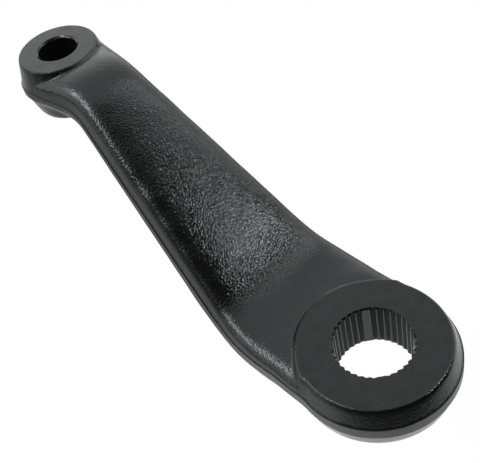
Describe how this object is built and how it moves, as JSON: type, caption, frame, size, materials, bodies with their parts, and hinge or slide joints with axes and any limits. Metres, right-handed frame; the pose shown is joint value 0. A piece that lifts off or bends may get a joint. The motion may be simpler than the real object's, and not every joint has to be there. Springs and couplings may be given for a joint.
{
  "type": "pitman arm",
  "caption": "Forged steel pitman arm: serrated eye for a sector shaft, broad S-bent arm and a raised small eye with a tapered stud hole.",
  "frame": {"origin": "on the axis of the serrated bore, mid way between the big eye's two faces", "axes": "+Z along the serrated bore, from the steering box side to the nut side; +X square to it, towards the small eye; Y across the arm"},
  "size_m": [0.2522, 0.0758, 0.1067],
  "materials": {
    "black_paint": "satin black paint over a shot-blasted forged skin"
  },
  "bodies": {
    "root": {"pitman_arm": "black_paint"}
  },
  "joints": []
}
